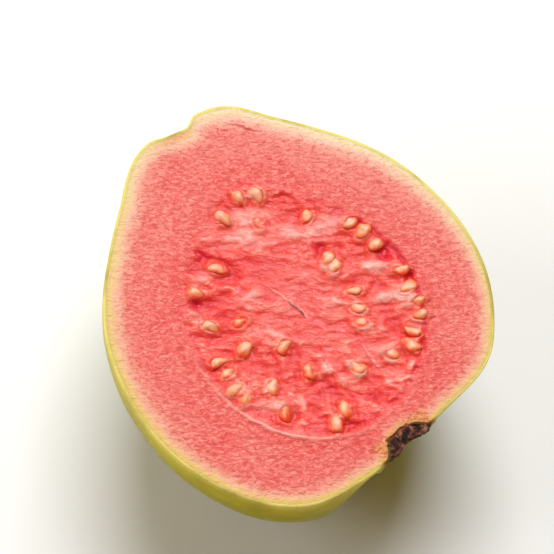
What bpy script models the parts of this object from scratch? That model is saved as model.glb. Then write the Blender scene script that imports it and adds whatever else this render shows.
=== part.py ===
"""A guava cut in half along its length, as it lies on a table: rounded back down, cut face up.

The half is one grown solid, skin, flesh, pulp and seeds together. The dried calyx is a second solid.
+X runs along the fruit from the stalk end to the blossom end, +Y across it, +Z up out of the cut face.
The origin is on the table, under the middle of the fruit. All sizes are in metres.
"""
import random
from math import acos, asin, atan2, cos, exp, floor, pi, radians, sin

import bmesh
import bpy
from mathutils import Matrix, Vector

MM = 0.001

# Whole fruit: distance of the skin from its middle, every 15 degrees from the blossom end to the stalk end
SKIN_STEP = radians(15)
SKIN_DISTANCE_MM = (40.3, 41.2, 42.8, 42.6, 41.1, 39.2, 37.4, 36.3, 35.4, 35.3, 37.0, 41.0, 40.9)

# The axis lies a little under the cut, and the back is flattened where it rests
CUT_ABOVE_AXIS = 4.0 * MM
AXIS_ABOVE_TABLE = 37.1 * MM
CUT_LEVEL = AXIS_ABOVE_TABLE + CUT_ABOVE_AXIS

# The stalk end bends towards +Y. The blossom end slopes back towards +Y and downwards.
STALK_BEND = 1.9 * MM
STALK_BEND_START = -1.6 * MM
STALK_END = -41.3 * MM
BLOSSOM_SLOPE_ACROSS = 0.13
BLOSSOM_SLOPE_DOWN = 0.30
BLOSSOM_SLOPE_FADE = 18.0 * MM
BLOSSOM_SLOPE_START = 12.0 * MM
BLOSSOM_END = 41.0 * MM

# Blunt shoulders each side of the blossom end: direction, width and height. They fade away from the cut.
SHOULDERS = (
    (radians(34), radians(10.5), 1.65 * MM),
    (radians(-35), radians(35), 0.85 * MM),
)
SHOULDER_FADE = 10

# Mesh of the half: directions round it, levels down its back, rings across the cut face
DIRECTIONS = 96
BACK_LEVELS = 15
FLESH_SHARES = (0.98, 0.8, 0.5, 0.2)
CORE_SHARES = (1.06, 1.0, 0.96, 0.9, 0.82, 0.73, 0.63, 0.52, 0.4, 0.27, 0.13)
EDGE_ROUNDING = 0.4 * MM

# Core of soft pulp in the cut face: an oval with a point towards the stalk
CORE_CENTRE = Vector((7.0, 0.4)) * MM
CORE_RADIUS = 24.0 * MM
CORE_OVAL = 1.6 * MM
CORE_POINT = 5.0 * MM
CORE_POINT_AT = radians(172)
CORE_POINT_WIDTH = radians(17)

# Relief of the pulp: it sinks a little and is lumpy, with a groove and a ridge along its edge
RELIEF_REACH = 1.3
PULP_DIP = 0.7 * MM
PULP_DIP_FROM = 1.02
PULP_DIP_WIDTH = 0.3
LUMP_HEIGHT = 0.45 * MM
LUMP_SPACING = 7.5 * MM
GROOVE_SHARE = 0.96
GROOVE_WIDTH = 0.04
GROOVE_DEPTH = 1.5 * MM
GROOVE_SIDE = radians(75)
GROOVE_LEAST = 0.3
RIDGE_SHARE = 1.03
RIDGE_HEIGHT = 0.5 * MM
RIDGE_SIDE = radians(300)
EDGE_SPREAD = radians(60)
PITS_MM = ((-3.2, 12.4), (5.7, 20.4), (-6.7, -16.2), (-14.6, -8.2))
PIT_DEPTH = 1.8 * MM
PIT_RADIUS = 1.8 * MM

# Seeds stand in rings round the core: share of the way out, then the angles at which the cut bares one
SEED_RINGS = (
    (0.97, (56, 64)),
    (0.94, (71, 83, 112, 120, 294, 341)),
    (0.91, (40, 48, 103, 166, 174, 225, 287)),
    (0.88, (184, 269, 277, 316)),
    (0.82, (144, 245, 348)),
    (0.78, (31, 206)),
    (0.71, (172, 304)),
    (0.60, (8, 268)),
    (0.54, (122, 243)),
    (0.48, (49, 63, 83, 114, 331)),
    (0.33, (295,)),
)
SEED_LENGTH = 3.3 * MM
SEED_WIDTH = 2.2 * MM
SEED_TAPER = 0.25
SEED_TURN = radians(22)
SEED_SHIFT = 0.4 * MM

# Scar of the stalk: a shallow round dent
SCAR_AT = Vector((-41.0, 1.2, 38.9)) * MM
SCAR_RADIUS = 5.2 * MM
SCAR_DEPTH = 1.7 * MM

# Dried calyx: a five-lobed crust in a shallow pit, cut through with the fruit.
# Its crown is rings of radius share, height and depth of the dents between the lobes.
CALYX_AT = Vector((39.5, 2.4, 38.8)) * MM
CALYX_FACING = Vector((0.95, 0.12, -0.28))
CALYX_RADIUS = 6.1 * MM
CALYX_FLOOR_SHARE = 0.75
CALYX_DEPTH = 2.7 * MM
CALYX_SIDES = 40
CALYX_LOBES = 5
CALYX_CROWN = ((0.96, 0.2 * MM, 0.1), (0.72, 0.5 * MM, 0.25), (0.45, 0.2 * MM, 0.1), (0.2, -0.7 * MM, 0.0))
CALYX_GAP = 0.3 * MM
PIT_REACH = 6 * MM


def turned(angle):
    """The angle between -180 and 180 degrees."""
    return (angle + pi) % (2 * pi) - pi


def bump(offset, width):
    """A smooth hump, 1 at no offset and nearly 0 past twice the width."""
    return exp(-(offset / width) ** 2)


def eased(share):
    """A share held between 0 and 1 that starts and ends softly."""
    share = min(1.0, max(0.0, share))
    return share * share * (3 - 2 * share)


def skin_distance(angle):
    """Distance of the skin from the fruit's middle, at an angle from the blossom end."""
    last = len(SKIN_DISTANCE_MM) - 1
    step = min(angle / SKIN_STEP, last - 1e-6)
    index = floor(step)
    share = step - index
    before, here, there, after = (SKIN_DISTANCE_MM[abs(last - abs(last - index - k))] for k in (-1, 0, 1, 2))
    slope_here = (there - before) / 2
    slope_there = (after - here) / 2
    height = here * (1 + 2 * share) * (1 - share) ** 2 + there * share ** 2 * (3 - 2 * share)
    height += slope_here * share * (1 - share) ** 2 - slope_there * share ** 2 * (1 - share)
    return height * MM


def fruit_point(direction, pitch):
    """A point of the whole fruit's skin, from its direction round the cut face and its pitch upwards."""
    ray = Vector((cos(pitch) * cos(direction), cos(pitch) * sin(direction), sin(pitch)))
    shoulder = sum(height * bump(turned(direction - at), width) for at, width, height in SHOULDERS)
    point = ray * (skin_distance(acos(max(-1.0, min(1.0, ray.x)))) + shoulder * cos(pitch) ** SHOULDER_FADE)
    bend = max(0.0, STALK_BEND_START - point.x) / (STALK_BEND_START - STALK_END)
    point.y += STALK_BEND * bend ** 2
    slope = max(0.0, point.x - BLOSSOM_SLOPE_START) / (BLOSSOM_END - BLOSSOM_SLOPE_START)
    under_cut = (CUT_ABOVE_AXIS - point.z) * eased(1 + point.y / BLOSSOM_SLOPE_FADE)
    point.x -= slope ** 3 * (BLOSSOM_SLOPE_ACROSS * point.y + BLOSSOM_SLOPE_DOWN * under_cut)
    point.z = max(0.0, point.z + AXIS_ABOVE_TABLE)
    return point


def rim_pitch(direction):
    """The pitch at which the skin reaches the cut."""
    pitch = 0.0
    for _ in range(8):
        distance = skin_distance(acos(cos(pitch) * cos(direction)))
        pitch = asin(CUT_ABOVE_AXIS / distance)
    return pitch


def core_radius(angle):
    """Radius of the core of pulp at an angle round its centre."""
    point = bump(turned(angle - CORE_POINT_AT), CORE_POINT_WIDTH)
    return CORE_RADIUS + CORE_OVAL * cos(2 * angle) + CORE_POINT * point


def core_place(angle, share):
    """A place in the cut face, a share of the way from the core's centre to its edge."""
    return CORE_CENTRE + Vector((cos(angle), sin(angle))) * core_radius(angle) * share


def cut_height(place):
    """Height of the cut face over the table at a place in it."""
    arm = place - CORE_CENTRE
    angle = atan2(arm.y, arm.x)
    share = arm.length / core_radius(angle)
    if share > RELIEF_REACH:
        return CUT_LEVEL
    inside = eased((PULP_DIP_FROM - share) / PULP_DIP_WIDTH)
    wave = 2 * pi / LUMP_SPACING
    lump = sin(wave * place.x + 2 * sin(wave * place.y / 2)) * cos(wave * place.y)
    height = (LUMP_HEIGHT * lump - PULP_DIP) * inside
    groove_side = GROOVE_LEAST + (1 - GROOVE_LEAST) * bump(turned(angle - GROOVE_SIDE), EDGE_SPREAD)
    height -= GROOVE_DEPTH * groove_side * bump(share - GROOVE_SHARE, GROOVE_WIDTH)
    ridge_side = bump(turned(angle - RIDGE_SIDE), EDGE_SPREAD / 2)
    height += RIDGE_HEIGHT * ridge_side * bump(share - RIDGE_SHARE, GROOVE_WIDTH)
    for x, y in PITS_MM:
        height -= PIT_DEPTH * bump((place - Vector((x, y)) * MM).length, PIT_RADIUS)
    return CUT_LEVEL + height


def on_cut(place):
    """The point of the cut face above a place in plan."""
    return Vector((place.x, place.y, cut_height(place)))


def material(name, colour, roughness):
    """A plain coloured surface."""
    made = bpy.data.materials.new(name)
    made.use_nodes = True
    shader = made.node_tree.nodes["Principled BSDF"]
    shader.inputs["Base Color"].default_value = (*colour, 1.0)
    shader.inputs["Roughness"].default_value = roughness
    shader.inputs["Metallic"].default_value = 0.0
    return made


def add_object(name, bm, surface):
    """Make an object of a finished mesh, in place and smoothly shaded."""
    bmesh.ops.recalc_face_normals(bm, faces=bm.faces[:])
    mesh = bpy.data.meshes.new(name)
    bm.to_mesh(mesh)
    bm.free()
    mesh.materials.append(surface)
    mesh.shade_smooth()
    mesh.set_sharp_from_angle(angle=radians(40))
    made = bpy.data.objects.new(name, mesh)
    bpy.context.scene.collection.objects.link(made)
    return made


def draw_ring(bm, edges, points):
    """Extrude a closed ring of edges and lay its new corners on the points."""
    made = bmesh.ops.extrude_edge_only(bm, edges=edges)["geom"]
    corners = [item for item in made if isinstance(item, bmesh.types.BMVert)]
    for corner in corners:
        corner.co = points[corner[bm.verts.layers.int["order"]]]
    return [item for item in made if isinstance(item, bmesh.types.BMEdge)]


def start_ring(count, points):
    """A mesh with one closed ring of edges on the points, whose corners remember their order."""
    bm = bmesh.new()
    order = bm.verts.layers.int.new("order")
    bmesh.ops.create_circle(bm, segments=count, radius=1.0)
    bm.verts.ensure_lookup_table()
    for index, corner in enumerate(bm.verts):
        corner[order] = index
        corner.co = points[index]
    return bm, bm.edges[:]


def half_fruit():
    """The half fruit without its seeds: rings down its rounded back and rings across its cut face."""
    turns = [2 * pi * index / DIRECTIONS for index in range(DIRECTIONS)]
    pitches = [rim_pitch(turn) for turn in turns]
    rim = [fruit_point(turn, pitch) for turn, pitch in zip(turns, pitches)]
    edge = [point - Vector((0, 0, EDGE_ROUNDING)) for point in rim]
    bm, start = start_ring(DIRECTIONS, edge)

    ring = start
    for level in range(1, BACK_LEVELS + 1):
        share = level / (BACK_LEVELS + 1)
        points = [fruit_point(turn, pitch - share * (pitch + pi / 2)) for turn, pitch in zip(turns, pitches)]
        ring = draw_ring(bm, ring, points)
    bmesh.ops.contextual_create(bm, geom=ring)

    ring = start
    for share in FLESH_SHARES:
        points = []
        for turn, point in zip(turns, rim):
            inner = core_place(turn, CORE_SHARES[0])
            points.append(on_cut(inner.lerp(point.xy, share)))
        ring = draw_ring(bm, ring, points)
    for share in CORE_SHARES:
        ring = draw_ring(bm, ring, [on_cut(core_place(turn, share)) for turn in turns])
    bmesh.ops.contextual_create(bm, geom=ring)
    bmesh.ops.triangulate(bm, faces=[face for face in bm.faces if len(face.verts) > 4])
    return bm


def seed(place, heading):
    """One pip: a small egg lying half sunk in the pulp with its thick end outwards."""
    bm = bmesh.new()
    bmesh.ops.create_icosphere(bm, subdivisions=2, radius=1.0)
    for corner in bm.verts:
        thick = 1 + SEED_TAPER * corner.co.x
        corner.co.x *= SEED_LENGTH / 2
        corner.co.y *= SEED_WIDTH / 2 * thick
        corner.co.z *= SEED_WIDTH / 2 * thick
    turn = Matrix.Rotation(heading, 4, "Z")
    bm.transform(Matrix.Translation(on_cut(place)) @ turn)
    return bm


def seeds(surface, group):
    """Every pip that the cut bares, each a little off its ring."""
    draw = random.Random(5)
    for share, angles in SEED_RINGS:
        for angle in angles:
            turn = radians(angle)
            place = core_place(turn, share)
            place += Vector((draw.uniform(-1, 1), draw.uniform(-1, 1))) * SEED_SHIFT
            heading = turn + draw.uniform(-SEED_TURN, SEED_TURN)
            pip = add_object(f"seed_{angle}", seed(place, heading), surface)
            bpy.context.scene.collection.objects.unlink(pip)
            group.objects.link(pip)


def facing_frame(place, facing):
    """A frame at a place in the skin, its Z axis out of the fruit."""
    return Matrix.Translation(place) @ facing.to_track_quat("Z", "X").to_matrix().to_4x4()


def calyx_plug(radius, floor_depth, top):
    """The round plug that the calyx is, or that its pit is cut with, tapered towards its floor."""
    turns = [2 * pi * index / CALYX_SIDES for index in range(CALYX_SIDES)]

    def circle(size, height, lobed=0.0):
        points = []
        for turn in turns:
            lobe = 1 - lobed * abs(sin(CALYX_LOBES * turn / 2)) ** 3
            points.append(Vector((cos(turn) * size * lobe, sin(turn) * size * lobe, height * lobe)))
        return points

    bm, start = start_ring(CALYX_SIDES, circle(radius, 0))
    ring = draw_ring(bm, start, circle(radius * CALYX_FLOOR_SHARE, -floor_depth))
    bmesh.ops.contextual_create(bm, geom=ring)
    ring = start
    for share, height, lobed in top:
        ring = draw_ring(bm, ring, circle(radius * share, height, lobed))
    bmesh.ops.contextual_create(bm, geom=ring)
    return bm


def calyx(surface):
    """Brown remains of the flower: five crisp lobes round a hollow, cut off level with the fruit."""
    bm = calyx_plug(CALYX_RADIUS, CALYX_DEPTH, CALYX_CROWN)
    bm.transform(facing_frame(CALYX_AT, CALYX_FACING))
    cut = bmesh.ops.bisect_plane(
        bm, geom=bm.verts[:] + bm.edges[:] + bm.faces[:], dist=1e-7,
        plane_co=(0, 0, CUT_LEVEL - CALYX_GAP), plane_no=(0, 0, 1), clear_outer=True)
    bmesh.ops.edgeloop_fill(bm, edges=[item for item in cut["geom_cut"] if isinstance(item, bmesh.types.BMEdge)])
    bmesh.ops.triangulate(bm, faces=[face for face in bm.faces if len(face.verts) > 4])
    return add_object("calyx", bm, surface)


def pit_cutter(surface):
    """The pit's shape: the calyx with a gap all round, open towards the outside."""
    bm = calyx_plug(CALYX_RADIUS + CALYX_GAP, CALYX_DEPTH + CALYX_GAP, ((1.1, PIT_REACH, 0.0),))
    bm.transform(facing_frame(CALYX_AT, CALYX_FACING))
    return add_object("pit_cutter", bm, surface)


def scar_cutter(surface):
    """A flat ball that dents the skin where the stalk came away."""
    bm = bmesh.new()
    bmesh.ops.create_uvsphere(bm, u_segments=20, v_segments=10, radius=1.0)
    bm.transform(Matrix.Translation(SCAR_AT) @ Matrix.Diagonal((SCAR_DEPTH, SCAR_RADIUS, SCAR_RADIUS, 1)))
    return add_object("scar_cutter", bm, surface)


def apply_boolean(target, operation, group):
    """Join or cut the target with every object of a collection, which are then removed."""
    step = target.modifiers.new(operation.lower(), "BOOLEAN")
    step.operation = operation
    step.operand_type = "COLLECTION"
    step.collection = group
    step.solver = "EXACT"
    bpy.context.view_layer.update()
    shaped = bpy.data.meshes.new_from_object(target.evaluated_get(bpy.context.evaluated_depsgraph_get()))
    target.modifiers.clear()
    target.data = shaped
    for item in list(group.objects):
        bpy.data.objects.remove(item, do_unlink=True)


def build():
    """Both solids of the half guava."""
    flesh = material("flesh", (0.87, 0.17, 0.15), 0.35)
    crust = material("calyx", (0.05, 0.02, 0.01), 0.9)
    fruit = add_object("guava_half", half_fruit(), flesh)

    cutters = bpy.data.collections.new("cutters")
    bpy.context.scene.collection.children.link(cutters)
    for cutter in (pit_cutter(flesh), scar_cutter(flesh)):
        cutter.hide_render = True
        cutter.display_type = "WIRE"
        bpy.context.scene.collection.objects.unlink(cutter)
        cutters.objects.link(cutter)
    apply_boolean(fruit, "DIFFERENCE", cutters)

    pips = bpy.data.collections.new("seeds")
    bpy.context.scene.collection.children.link(pips)
    seeds(flesh, pips)
    apply_boolean(fruit, "UNION", pips)
    calyx(crust)


for old in list(bpy.data.objects):
    bpy.data.objects.remove(old, do_unlink=True)
build()
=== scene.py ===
import random
from math import cos, pi, radians, sin

import bmesh
import bpy
import numpy as np
from mathutils import Matrix, Vector, noise


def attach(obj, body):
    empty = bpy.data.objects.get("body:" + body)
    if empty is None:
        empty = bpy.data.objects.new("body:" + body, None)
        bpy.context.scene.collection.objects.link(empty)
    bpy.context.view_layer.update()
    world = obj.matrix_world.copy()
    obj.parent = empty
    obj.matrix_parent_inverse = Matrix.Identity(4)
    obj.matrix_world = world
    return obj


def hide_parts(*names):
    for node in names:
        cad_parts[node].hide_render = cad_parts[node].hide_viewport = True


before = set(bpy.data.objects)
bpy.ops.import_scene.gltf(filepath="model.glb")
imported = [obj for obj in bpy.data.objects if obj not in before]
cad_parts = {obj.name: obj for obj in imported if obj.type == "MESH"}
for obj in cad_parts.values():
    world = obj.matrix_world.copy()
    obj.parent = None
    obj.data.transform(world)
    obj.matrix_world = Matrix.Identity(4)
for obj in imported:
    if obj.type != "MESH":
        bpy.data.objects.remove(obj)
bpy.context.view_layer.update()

# Skin. A thin waxy peel, one shell round a berry that narrows to its stalk, yellow-green and turning yellow.
# The knife halved it a little above its axis and left its edge as a thin yellow line. The half lies on
# its back, flattened where it rests. Its distances from the fruit's middle start at the blossom end.
MM = 0.001
SKIN_STEP = radians(15)
SKIN_DISTANCE = MM * np.array((40.3, 41.2, 42.8, 42.6, 41.1, 39.2, 37.4, 36.3, 35.4, 35.3, 37.0, 41.0, 40.9))
CUT_ABOVE_AXIS = 4.0 * MM
AXIS_ABOVE_TABLE = 37.1 * MM
CUT_LEVEL = AXIS_ABOVE_TABLE + CUT_ABOVE_AXIS
STALK_BEND = 1.9 * MM
STALK_BEND_START = -1.6 * MM
STALK_END = -41.3 * MM
BLOSSOM_SLOPE_ACROSS = 0.13
BLOSSOM_SLOPE_DOWN = 0.30
BLOSSOM_SLOPE_FADE = 18.0 * MM
BLOSSOM_SLOPE_START = 12.0 * MM
BLOSSOM_END = 41.0 * MM
SHOULDERS = ((radians(34), radians(10.5), 1.65 * MM), (radians(-35), radians(35), 0.85 * MM))
SHOULDER_FADE = 10
SCAR_AT = Vector((-40.6, 0.6, 38.9)) * MM
SCAR_RADIUS = 6.2 * MM
SCAR_STEP = 3.2 * MM
SCAR_DEPTH = 1.9 * MM
SCAR_SHARE = 0.75
SCAR_TILT = 0.08 / MM
CALYX_AT = Vector((39.5, 2.4, 38.8)) * MM
CALYX_FACING = Vector((0.95, 0.12, -0.28))
CALYX_RADIUS = 6.1 * MM
CALYX_DEPTH = 2.7 * MM
CALYX_GAP = 0.3 * MM
CALYX_FRAME = Matrix.Translation(CALYX_AT) @ CALYX_FACING.to_track_quat("Z", "X").to_matrix().to_4x4()
PIT_DEPTH = 3.0 * MM
PIT_WALL = 3.0 * MM
PIT_UNEVEN = 0.35
PIT_UNEVEN_SIZE = 0.06
PIT_LIP = 0.8 * MM
PIT_LIP_WIDTH = 1.0 * MM
PIT_LIP_FADE = 4 * MM
PIT_SKIN = 0.3


def bump(offset, width):
    """A smooth hump, 1 at no offset and nearly 0 past twice the width."""
    return np.exp(-(offset / width) ** 2)


def eased(share):
    """A share held between 0 and 1 that starts and ends softly."""
    share = np.clip(share, 0, 1)
    return share * share * (3 - 2 * share)


def turned(angle):
    """The angle between -180 and 180 degrees."""
    return (angle + pi) % (2 * pi) - pi


def noise_at(points, size, shift=0.0):
    """Smooth noise between -1 and 1 at each point, with lumps of a real size."""
    offset = Vector((shift, 2 * shift, 3 * shift))
    return np.array([noise.noise(Vector(point) / size + offset) for point in points])


def skin_distance(angle):
    """Distance of the skin from the fruit's middle, at angles from the blossom end."""
    ring = np.concatenate((SKIN_DISTANCE[1:2], SKIN_DISTANCE, SKIN_DISTANCE[-2:-1]))
    step = np.clip(angle / SKIN_STEP, 0, len(SKIN_DISTANCE) - 1 - 1e-6)
    index = step.astype(int)
    share = step - index
    before, here, there, after = (ring[index + k] for k in range(4))
    distance = here * (1 + 2 * share) * (1 - share) ** 2 + there * share ** 2 * (3 - 2 * share)
    distance += (there - before) / 2 * share * (1 - share) ** 2
    return distance - (after - here) / 2 * share ** 2 * (1 - share)


def calyx_place(points):
    """Distance from the calyx's axis, and height along it, of each point."""
    turn = np.array(CALYX_FRAME.inverted().to_3x3())
    local = (points - np.array(CALYX_AT)) @ turn.T
    return np.hypot(local[:, 0], local[:, 1]), local[:, 2]


def fruit_points(direction, pitch, inset=0.0, ends=1.0):
    """Points of the skin, from their direction round the cut face and their pitch upwards.

    The pit of the calyx and the scar of the stalk are there in full if ends is 1, and gone if it is 0.
    """
    level = np.cos(pitch)
    ray = np.stack((level * np.cos(direction), level * np.sin(direction), np.sin(pitch)), 1)
    shoulder = sum(height * bump(turned(direction - at), width) for at, width, height in SHOULDERS)
    distance = skin_distance(np.arccos(np.clip(ray[:, 0], -1, 1))) + shoulder * level ** SHOULDER_FADE - inset
    x, y, z = (ray * distance[:, None]).T
    y = y + STALK_BEND * np.clip((STALK_BEND_START - x) / (STALK_BEND_START - STALK_END), 0, 2) ** 2
    slope = np.clip((x - BLOSSOM_SLOPE_START) / (BLOSSOM_END - BLOSSOM_SLOPE_START), 0, 2)
    under_cut = (CUT_ABOVE_AXIS - z) * eased(1 + y / BLOSSOM_SLOPE_FADE)
    x = x - slope ** 3 * (BLOSSOM_SLOPE_ACROSS * y + BLOSSOM_SLOPE_DOWN * under_cut)
    points = np.stack((x, y, np.maximum(inset, z + AXIS_ABOVE_TABLE)), 1)
    reach, height = calyx_place(points)
    near = (points[:, 0] > 0) & (height > -3 * CALYX_DEPTH)
    thin = PIT_SKIN * inset
    depth = PIT_DEPTH * (1 + PIT_UNEVEN * noise_at(ray, PIT_UNEVEN_SIZE, 2.0))
    sunk = (inset - thin - depth) * eased((CALYX_RADIUS + thin - reach) / PIT_WALL)
    lip = PIT_LIP * bump(reach - CALYX_RADIUS - PIT_LIP_WIDTH, PIT_LIP_WIDTH)
    lip *= eased((CUT_LEVEL - points[:, 2]) / PIT_LIP_FADE)
    move = ends * np.where(near, sunk + lip, 0.0)
    points[:, :2] += move[:, None] * np.array(CALYX_FRAME.col[2][:2])
    across = np.hypot(points[:, 1] - SCAR_AT.y, points[:, 2] - SCAR_AT.z)
    tilt = np.clip(SCAR_SHARE + SCAR_TILT * (points[:, 1] - SCAR_AT.y), 0, 1)
    dent = ends * tilt * SCAR_DEPTH * eased((SCAR_RADIUS - across) / SCAR_STEP)
    points[:, 0] += np.where(points[:, 0] < 0, dent, 0.0)
    return points


def rim_pitch(direction):
    """The pitch at which the skin reaches the cut, in each direction."""
    pitch = np.zeros_like(direction)
    for _ in range(8):
        pitch = np.arcsin(CUT_ABOVE_AXIS / skin_distance(np.arccos(np.cos(pitch) * np.cos(direction))))
    return pitch


def rim_points(direction, inset=0.0, ends=1.0):
    """Points where the skin, or a layer inset from it, meets the cut."""
    points = fruit_points(direction, rim_pitch(direction), inset, ends)
    points[:, 2] = CUT_LEVEL
    return points


SKIN_DIRECTIONS = 320
SKIN_LEVELS = 110
SKIN_INNER_LEVELS = 14
SKIN_THICKNESS = 0.55 * MM
SKIN_EDGE = 0.3 * MM
SKIN_WAVES = 0.25 * MM
SKIN_WAVE_SIZE = 11 * MM
SKIN_GREEN = "#8A9A00"
SKIN_YELLOW = "#CCBC08"
SKIN_OLIVE = "#907E00"
SKIN_BLOOM = "#AAB40C"
SKIN_RUSSET = "#6E5A20"
SKIN_DOWNWARDS = (
    (0.0, "#F0DC7C"), (0.012, "#E6D04C"), (0.04, "#CAB810"), (0.15, "#ACA002"), (0.5, SKIN_GREEN), (1.0, SKIN_OLIVE))
BLOOM_SIZE = 7 * MM
# Real flecks are about half as wide: they are drawn this coarse so that they show
FLECK_SIZE = 0.9 * MM
FLECK_HEIGHT = 0.3 * MM
RUSSET_SIZE = 13 * MM
RUSSET_BY_CALYX = 0.7
RUSSET_REACH_CALYX = 2.5 * MM
RUSSET_REACH_SCAR = 5 * MM
BLOSSOM_FROM = 20 * MM
STAIN_EDGE = 0.8 * MM
STAIN_TOP = 0.9 * MM
STAIN_TOP_FADE = 0.6 * MM
STAIN_ON_CUT = 0.5
STAIN_UNDER_CUT = 0.5 * MM
STAIN_UNDER_CUT_FADE = 0.4 * MM


def start_ring(points):
    """A mesh with one closed ring of edges on the points, whose corners remember their order."""
    bm = bmesh.new()
    order = bm.verts.layers.int.new("order")
    bmesh.ops.create_circle(bm, segments=len(points), radius=1.0)
    bm.verts.ensure_lookup_table()
    for index, corner in enumerate(bm.verts):
        corner[order] = index
        corner.co = points[index]
    return bm, bm.edges[:]


def draw_ring(bm, edges, points):
    """Extrude a closed ring of edges and lay its new corners on the points."""
    order = bm.verts.layers.int["order"]
    made = bmesh.ops.extrude_edge_only(bm, edges=edges)["geom"]
    for corner in made:
        if isinstance(corner, bmesh.types.BMVert):
            corner.co = points[corner[order]]
    return [item for item in made if isinstance(item, bmesh.types.BMEdge)]


def add_piece(name, bm, surface, slot, *nodes):
    """Make a smooth object of a finished mesh and tie it to the frame."""
    bmesh.ops.recalc_face_normals(bm, faces=bm.faces[:])
    for face in bm.faces:
        face.smooth = True
    mesh = bpy.data.meshes.new(name)
    bm.to_mesh(mesh)
    bm.free()
    mesh.materials.append(surface)
    piece = bpy.data.objects.new(name, mesh)
    bpy.context.scene.collection.objects.link(piece)
    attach(piece, "root")
    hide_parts(*nodes)
    return piece


def linear(colour):
    """A linear colour from an sRGB hex value, or a grey from a number."""
    if not isinstance(colour, str):
        return (colour, colour, colour, 1.0)
    parts = [int(colour[k:k + 2], 16) / 255 for k in (1, 3, 5)]
    return (*(c / 12.92 if c <= 0.04045 else ((c + 0.055) / 1.055) ** 2.4 for c in parts), 1.0)


def add_node(tree, kind, output, settings=None, **inputs):
    """Add a node with its settings and its inputs, which are values, hex colours or links, and give an output.

    An input is named with _ for each space, or numbered after an n. A colour ramp's stops are a setting.
    """
    made = tree.nodes.new(kind)
    settings = dict(settings or {})
    for index, (place, colour) in enumerate(settings.pop("stops", ())):
        points = made.color_ramp.elements
        point = points[index] if index < 2 else points.new(place)
        point.position = place
        point.color = linear(colour)
    for key, value in settings.items():
        setattr(made, key, value)
    for key, value in inputs.items():
        socket = made.inputs[int(key[1:]) if key[1:].isdigit() else key.replace("_", " ")]
        if isinstance(value, bpy.types.NodeSocket):
            tree.links.new(value, socket)
        else:
            socket.default_value = linear(value) if isinstance(value, str) else value
    return made.outputs[output] if made.outputs else None


def paint(tree, colour, *layers):
    """Lay tints over a colour. Each has its share, the stops that the share runs through, and where it may lie."""
    for share, stops, within, tint in layers:
        amount = add_node(tree, "ShaderNodeValToRGB", 0, {"stops": stops}, n0=share)
        amount = add_node(tree, "ShaderNodeMath", 0, {"operation": "MULTIPLY"}, n0=amount, n1=within)
        colour = add_node(tree, "ShaderNodeMix", 2, {"data_type": "RGBA"}, n0=amount, n6=colour, n7=tint)
    return colour


def new_material(name):
    """An empty node material and its tree."""
    made = bpy.data.materials.new(name)
    made.use_nodes = True
    made.node_tree.nodes.clear()
    return made, made.node_tree


def finish_material(tree, **inputs):
    """Close a material with its shader."""
    shader = add_node(tree, "ShaderNodeBsdfPrincipled", "BSDF", **inputs)
    add_node(tree, "ShaderNodeOutputMaterial", None, Surface=shader)


def waxy_peel():
    """Waxy fruit peel, grown: satin, with soft mottling, pale flecks and a little russet."""
    material, tree = new_material("waxy_guava_peel")
    place = add_node(tree, "ShaderNodeTexCoord", "Object")
    bloom = add_node(
        tree, "ShaderNodeTexNoise", "Fac", Vector=place, Scale=1 / BLOOM_SIZE, Detail=6.0, Roughness=0.6)
    patch = add_node(
        tree, "ShaderNodeTexNoise", "Fac", Vector=place, Scale=1 / RUSSET_SIZE, Detail=3.0, Roughness=0.55)
    fleck = add_node(tree, "ShaderNodeTexVoronoi", "Distance", Vector=place, Scale=1 / FLECK_SIZE)
    height, ends, pit = (
        add_node(tree, "ShaderNodeAttribute", "Fac", {"attribute_name": name}) for name in ("under_rim", "ends", "pit"))
    russet = add_node(tree, "ShaderNodeMath", 0, {"operation": "MULTIPLY"}, n0=ends, n1=bloom)
    ripe = add_node(tree, "ShaderNodeValToRGB", 0, {"stops": SKIN_DOWNWARDS}, n0=height)
    scarred = add_node(tree, "ShaderNodeValToRGB", 0, {"stops": ((0.5, "#BE7A38"), (0.8, "#7A4420"))}, n0=pit)
    colour = paint(
        tree, ripe,
        (bloom, ((0.5, 0.0), (0.75, 0.45)), 1.0, SKIN_BLOOM),
        (patch, ((0.5, 0.0), (0.7, 0.6)), 1.0, SKIN_OLIVE),
        (fleck, ((0.0, 0.3), (0.3, 0.0)), 1.0, SKIN_YELLOW),
        (pit, ((0.1, 0.0), (0.45, 1.0)), 1.0, scarred),
        (russet, ((0.2, 0.0), (0.5, 0.85)), 1.0, SKIN_RUSSET))
    relief = add_node(tree, "ShaderNodeBump", "Normal", Strength=0.25, Distance=FLECK_HEIGHT, Height=fleck)
    finish_material(
        tree, Base_Color=colour, Roughness=0.4, IOR=1.36, Specular_IOR_Level=0.15, Subsurface_Weight=0.12,
        Subsurface_Radius=(1.0, 0.7, 0.2), Subsurface_Scale=0.8 * MM, Normal=relief)
    return material


def add_values(piece, **values):
    """Give each corner of a piece a named value for its material to read."""
    for name, numbers in values.items():
        kind = "FLOAT" if np.ndim(numbers) == 1 else "FLOAT_VECTOR"
        layer = piece.data.attributes.new(name, kind, "POINT")
        layer.data.foreach_set("value" if kind == "FLOAT" else "vector", np.ravel(numbers).astype(np.float32))


def corner_points(piece):
    """Every corner of a piece as rows of an array."""
    flat = np.empty(3 * len(piece.data.vertices))
    piece.data.vertices.foreach_get("co", flat)
    return flat.reshape(-1, 3)


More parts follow.
